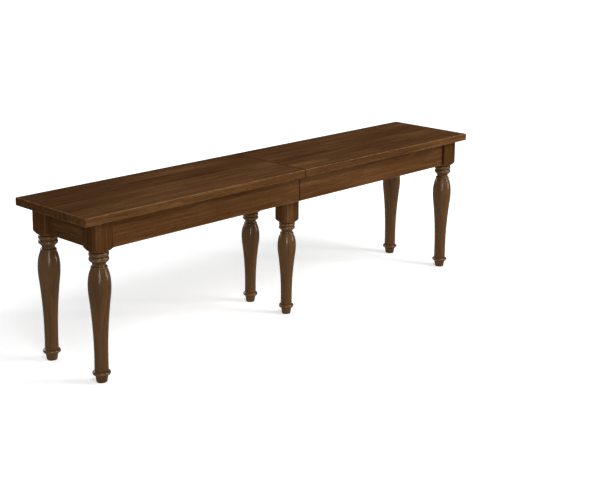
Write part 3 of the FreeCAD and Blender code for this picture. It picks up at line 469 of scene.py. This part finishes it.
# Radius and height on an end leg, in metres, between the foot and the square block. A corner is a sharp
# step of the turning tool, and the points between two corners lie on one smooth curve.
LEG_PROFILE = (
    (0.0132, 0.0000, "corner"), (0.0142, 0.0012, ""), (0.0149, 0.0055, ""), (0.0172, 0.0190, "corner"),
    (0.0205, 0.0203, ""), (0.0233, 0.0226, ""), (0.0242, 0.0254, ""), (0.0233, 0.0282, ""),
    (0.0205, 0.0304, ""), (0.0186, 0.0315, "corner"),
    (0.0184, 0.0450, ""), (0.0184, 0.0750, ""), (0.0192, 0.1160, ""), (0.0216, 0.1615, ""),
    (0.0262, 0.2130, ""), (0.0293, 0.2400, ""), (0.0302, 0.2605, ""), (0.0292, 0.2785, ""),
    (0.0264, 0.2940, ""), (0.0214, 0.3085, "corner"),
    (0.0220, 0.3102, ""), (0.0219, 0.3122, ""), (0.0205, 0.3138, "corner"),
    (0.0184, 0.3150, ""), (0.0174, 0.3172, ""), (0.0178, 0.3200, ""), (0.0198, 0.3236, ""),
    (0.0224, 0.3266, "corner"),
    (0.0246, 0.3279, ""), (0.0262, 0.3310, ""), (0.0262, 0.3346, ""), (0.0248, 0.3381, ""),
    (0.0232, 0.3395, "corner"),
    (0.0246, 0.3408, ""), (0.0262, 0.3438, ""), (0.0262, 0.3476, ""), (0.0248, 0.3507, ""),
    (0.0232, 0.3520, "corner"),
)
ANKLE_TOP = 0.0315
# Radius on the corners of the block, and how far its shoulders run out for each unit that they rise.
CORNER_ROUND = 0.0045
SHOULDER_SLOPE = 1.4
# How far the painted shade reaches out of a groove, how far under a crest the painted highlight and wear
# reach, how strong they are there and on the block's corners, the tallest run of the profile that is still a
# bead, and the height under which a run starts without painted shade in its groove.
GROOVE_SHADE_WIDTH = 0.0016
CREST_DEPTH = 0.0012
CREST_HIGHLIGHT_AND_WEAR = 0.3
BEAD_HEIGHT = 0.02
GROOVES_FROM = 0.01
# Fineness of the mesh: shortest step up the profile, most steps between two of its points, steps up the
# shoulder, and steps on half a flat and on a corner of the block.
PROFILE_STEP = 0.0012
PROFILE_STEPS = 10
SHOULDER_STEPS = 24
FLAT_STEPS = 9
CORNER_STEPS = 10

# Side of the block, height of its shoulder and slimness of the turning on each kind of leg.
END_LEG = (0.0584, 0.352, 1.0)
CENTRE_LEG = (0.0518, 0.285, 0.915)


def smooth_run(points, steps):
    """Points along a curve that passes through the given ones without overshooting between corners."""
    vectors = [Vector((radius, height)) for radius, height in points]
    first = vectors[0] * 2 - vectors[1]
    last = vectors[-1] * 2 - vectors[-2]
    padded = [first] + vectors + [last]
    run = []
    for index in range(1, len(padded) - 2):
        before, start, end, after = padded[index - 1:index + 3]
        pairs = ((before, start), (start, end), (end, after))
        gaps = [max((b - a).length, 1e-6) ** 0.5 for a, b in pairs]
        middle = (end - start) / gaps[1]
        leave = (start - before) / gaps[0] - (end - before) / (gaps[0] + gaps[1]) + middle
        arrive = middle - (after - start) / (gaps[1] + gaps[2]) + (after - end) / gaps[2]
        leave *= gaps[1]
        arrive *= gaps[1]
        count = max(2, min(steps, int((end - start).length / PROFILE_STEP)))
        for step in range(count):
            t = step / count
            run.append(
                start * (2 * t ** 3 - 3 * t ** 2 + 1) + leave * (t ** 3 - 2 * t ** 2 + t)
                + end * (3 * t ** 2 - 2 * t ** 3) + arrive * (t ** 3 - t ** 2)
            )
    run.append(vectors[-1])
    return run


def lathe_points():
    """Radius, height and mask of painted light and wear up the turned profile, from the floor to the
    shoulder.

    The mask is below nought beside a groove, for painted shade, and above it on the crest of each bead, for
    a painted highlight with wear.
    """
    runs = []
    stretch = []
    for radius, height, kind in LEG_PROFILE:
        stretch.append((radius, height))
        if kind == "corner" and len(stretch) > 1:
            runs.append(smooth_run(stretch, PROFILE_STEPS))
            stretch = [(radius, height)]
    points = []
    for run in runs:
        tall = run[-1].y - run[0].y
        crest = max(point.x for point in run)
        for point in run[:-1]:
            near = min((point - run[0]).length, (point - run[-1]).length)
            # Painted shade beside each groove, and a painted highlight with wear on each bead's crest.
            groove = max(1 - near / GROOVE_SHADE_WIDTH, 0) if run[0].y > GROOVES_FROM else 0
            crown = max(1 - (crest - point.x) / CREST_DEPTH, 0) if tall < BEAD_HEIGHT else 0
            points.append((point.x, point.y, crown * CREST_HIGHLIGHT_AND_WEAR - groove))
    points.append((runs[-1][-1].x, runs[-1][-1].y, -1))
    return points


def square_reach(angle, half, corner):
    """How far a square with rounded corners reaches from its middle at an angle."""
    turn = abs((angle + math.pi / 4) % (math.pi / 2) - math.pi / 4)
    if half * math.tan(turn) <= half - corner:
        return half / math.cos(turn)
    middle = half - corner
    along = middle * (math.cos(turn) + math.sin(turn))
    return along + math.sqrt(max(along ** 2 - 2 * middle ** 2 + corner ** 2, 0))


def leg_angles(half, corner):
    """Angles round a leg, closer at the corners of the block, each with how far it lies on one."""
    edge = math.atan((half - corner) / half)
    bend = math.pi / 2 - 2 * edge
    quarter = [(edge * step / FLAT_STEPS, 0) for step in range(FLAT_STEPS)]
    quarter += [
        (edge + bend * step / CORNER_STEPS, math.sin(math.pi * step / CORNER_STEPS))
        for step in range(CORNER_STEPS)
    ]
    quarter += [
        (math.pi / 2 - edge + edge * step / FLAT_STEPS, 0) for step in range(FLAT_STEPS)
    ]
    return [(quadrant * math.pi / 2 + angle, lit_and_worn) for quadrant in range(4) for angle, lit_and_worn in quarter]


def turned_leg(node, material):
    """A leg in place of its solid: the turning runs up into a square block, which it cuts to arches."""
    low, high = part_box(node)
    centre = (low + high) / 2
    square, shoulder, slimness = CENTRE_LEG if node.startswith("centre") else END_LEG
    squeeze = (shoulder - ANKLE_TOP) / (END_LEG[1] - ANKLE_TOP)
    half = square / 2
    rings = []
    for radius, height, lit_and_worn in lathe_points():
        rise = max(height - ANKLE_TOP, 0)
        rings.append((radius * slimness, height + rise * (squeeze - 1), lit_and_worn, 0))
    neck = rings[-1][0]
    reach = square_reach(math.pi / 4, half, CORNER_ROUND)
    rise = (reach - neck) / SHOULDER_SLOPE
    for step in range(1, SHOULDER_STEPS + 1):
        share = step / SHOULDER_STEPS
        # Painted shade where the shoulder leaves the neck.
        groove = max(1 - share * 6, 0)
        rings.append((neck + (reach - neck) * share, shoulder + rise * share, -groove, share))
    rings += [(reach, shoulder + rise * 1.05, 0, 1), (reach, high.z, 0, 1)]
    angles = leg_angles(half, CORNER_ROUND)
    mesh = bmesh.new()
    painted_light_and_wear = mesh.verts.layers.float.new("painted_light_and_wear")
    polish = mesh.verts.layers.float.new("polish")
    rows = []
    for radius, height, lit_and_worn, squareness in rings:
        row = []
        for angle, corner in angles:
            limit = square_reach(angle, half, CORNER_ROUND)
            out = min(radius, limit)
            vertex = mesh.verts.new((
                centre.x + out * math.cos(angle), centre.y + out * math.sin(angle), height,
            ))
            on_block = radius >= limit and squareness > 0
            # Painted highlight with wear on the block's rounded corners.
            vertex[painted_light_and_wear] = lit_and_worn + (corner * CREST_HIGHLIGHT_AND_WEAR if on_block else 0)
            vertex[polish] = 0 if on_block else 1
            row.append(vertex)
        rows.append(row)
    count = len(angles)
    for lower, upper in zip(rows, rows[1:]):
        for index in range(count):
            after = (index + 1) % count
            mesh.faces.new((lower[index], lower[after], upper[after], upper[index]))
    mesh.faces.new(list(reversed(rows[0])))
    mesh.faces.new(rows[-1])
    piece = add_piece(node + "_turned", mesh, material, [node], smooth_to=35)
    flats = piece.modifiers.new("flat_faces", "WEIGHTED_NORMAL")
    flats.keep_sharp = True
    return piece


def add_piece(name, mesh, material, replaced=(), smooth_to=None, body=None):
    """A finished mesh as a named piece that rides on the body of the solid that it stands for."""
    data = bpy.data.meshes.new(name)
    mesh.to_mesh(data)
    mesh.free()
    if smooth_to:
        data.shade_smooth()
        data.set_sharp_from_angle(angle=math.radians(smooth_to))
    data.materials.append(material)
    piece = bpy.data.objects.new(name, data)
    bpy.context.scene.collection.objects.link(piece)
    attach(piece, body or nodes[replaced[0]]["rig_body"])
    if replaced:
        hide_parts(*replaced)
    return piece


def make_legs():
    leg_wood = stained_wood("leg_wood", "z", seed=5.0, wear_and_highlight=0.4, turned=True)
    for side in SIDES:
        for face in FACES:
            turned_leg("%s_%s_leg" % (side, face), leg_wood)
    for face in FACES:
        turned_leg("centre_%s_leg" % face, leg_wood)


# Studio

# Light from all round, as a share of the white ground that the camera sees.
AMBIENT = 0.28
# Glow of the floor near the bench and far from it, and the distances between which it changes.
NEAR_GLOW = 0.46
FAR_GLOW = 0.95
NEAR_GROUND = 0.6
FAR_GROUND = 3.0


def area_light(name, place, target, width, height, power):
    data = bpy.data.lights.new(name, "AREA")
    data.shape = "RECTANGLE"
    data.size = width
    data.size_y = height
    data.energy = power
    lamp = bpy.data.objects.new(name, data)
    lamp.location = place
    lamp.visible_camera = False
    lamp.rotation_euler = (Vector(target) - Vector(place)).to_track_quat("-Z", "Y").to_euler()
    bpy.context.scene.collection.objects.link(lamp)


def make_studio():
    area_light("key", (1.5, -2.3, 2.9), (0, 0, 0.35), 1.0, 1.6, 70)
    area_light("camera_side", (-1.6, -2.2, 2.7), (-0.1, 0, 0.3), 0.6, 1.4, 24)
    area_light("back", (-0.4, 3.3, 1.5), (0, 0, 0.4), 2.4, 1.4, 50)
    # Two tall, narrow lamps that stand on the floor and draw the streaks down the turnings.
    area_light("left_strip", (-2.30, -2.55, 0.85), (-0.3, 0, 0.85), 0.28, 1.7, 22)
    area_light("right_strip", (2.20, -2.20, 0.85), (0, 0, 0.85), 0.18, 1.7, 24)

    world = bpy.data.worlds.new("studio")
    bpy.context.scene.world = world
    world.use_nodes = True
    tree = world.node_tree
    tree.nodes.clear()
    camera_ray = tree.nodes.new("ShaderNodeLightPath").outputs["Is Camera Ray"]
    strength = calc(tree, "MULTIPLY_ADD", camera_ray, 1 - AMBIENT, AMBIENT)
    background = add_node(tree, "ShaderNodeBackground", {"Color": (1, 1, 1, 1), "Strength": strength})
    output = tree.nodes.new("ShaderNodeOutputWorld")
    tree.links.new(background.outputs[0], output.inputs[0])

    material, tree, surface, place = start_material("studio_floor")
    surface.inputs["Base Color"].default_value = (0.80, 0.80, 0.80, 1)
    surface.inputs["Roughness"].default_value = 0.9
    surface.inputs["Specular IOR Level"].default_value = 0.0
    surface.inputs["Emission Color"].default_value = (1, 1, 1, 1)
    # The floor glows for the camera alone, and more so far out, where the lamps fall off.
    camera_ray = tree.nodes.new("ShaderNodeLightPath").outputs["Is Camera Ray"]
    distance = add_node(tree, "ShaderNodeVectorMath", {0: place}, operation="LENGTH").outputs["Value"]
    glow = remap(tree, distance, NEAR_GROUND, FAR_GROUND, NEAR_GLOW, FAR_GLOW)
    tree.links.new(calc(tree, "MULTIPLY", camera_ray, glow), surface.inputs["Emission Strength"])
    mesh = bmesh.new()
    bmesh.ops.create_grid(mesh, x_segments=1, y_segments=1, size=40)
    data = bpy.data.meshes.new("floor")
    mesh.to_mesh(data)
    mesh.free()
    data.materials.append(material)
    floor = bpy.data.objects.new("floor", data)
    floor.visible_glossy = False
    bpy.context.scene.collection.objects.link(floor)


def make_camera():
    """The photograph's viewpoint, found from the corners of the seat and the feet of the legs."""
    yaw, down, roll = math.radians(46.553), math.radians(12.432), math.radians(0.646)
    ahead = Vector((math.sin(yaw) * math.cos(down), math.cos(yaw) * math.cos(down), -math.sin(down)))
    right = Vector((math.cos(yaw), -math.sin(yaw), 0))
    up = right.cross(ahead)
    tilted_right = right * math.cos(roll) + up * math.sin(roll)
    tilted_up = up * math.cos(roll) - right * math.sin(roll)
    data = bpy.data.cameras.new("camera")
    data.sensor_width = 36.0
    data.lens = 73.661
    data.shift_y = -0.15
    camera = bpy.data.objects.new("camera", data)
    turn = Matrix((tilted_right, tilted_up, -ahead)).transposed()
    camera.matrix_world = Matrix.Translation((-2.5381, -2.5326, 1.2529)) @ turn.to_4x4()
    bpy.context.scene.collection.objects.link(camera)
    bpy.context.scene.camera = camera


finish_boards()
finish_hidden_pieces()
make_legs()
make_studio()
make_camera()
bpy.context.scene.view_settings.view_transform = "Standard"
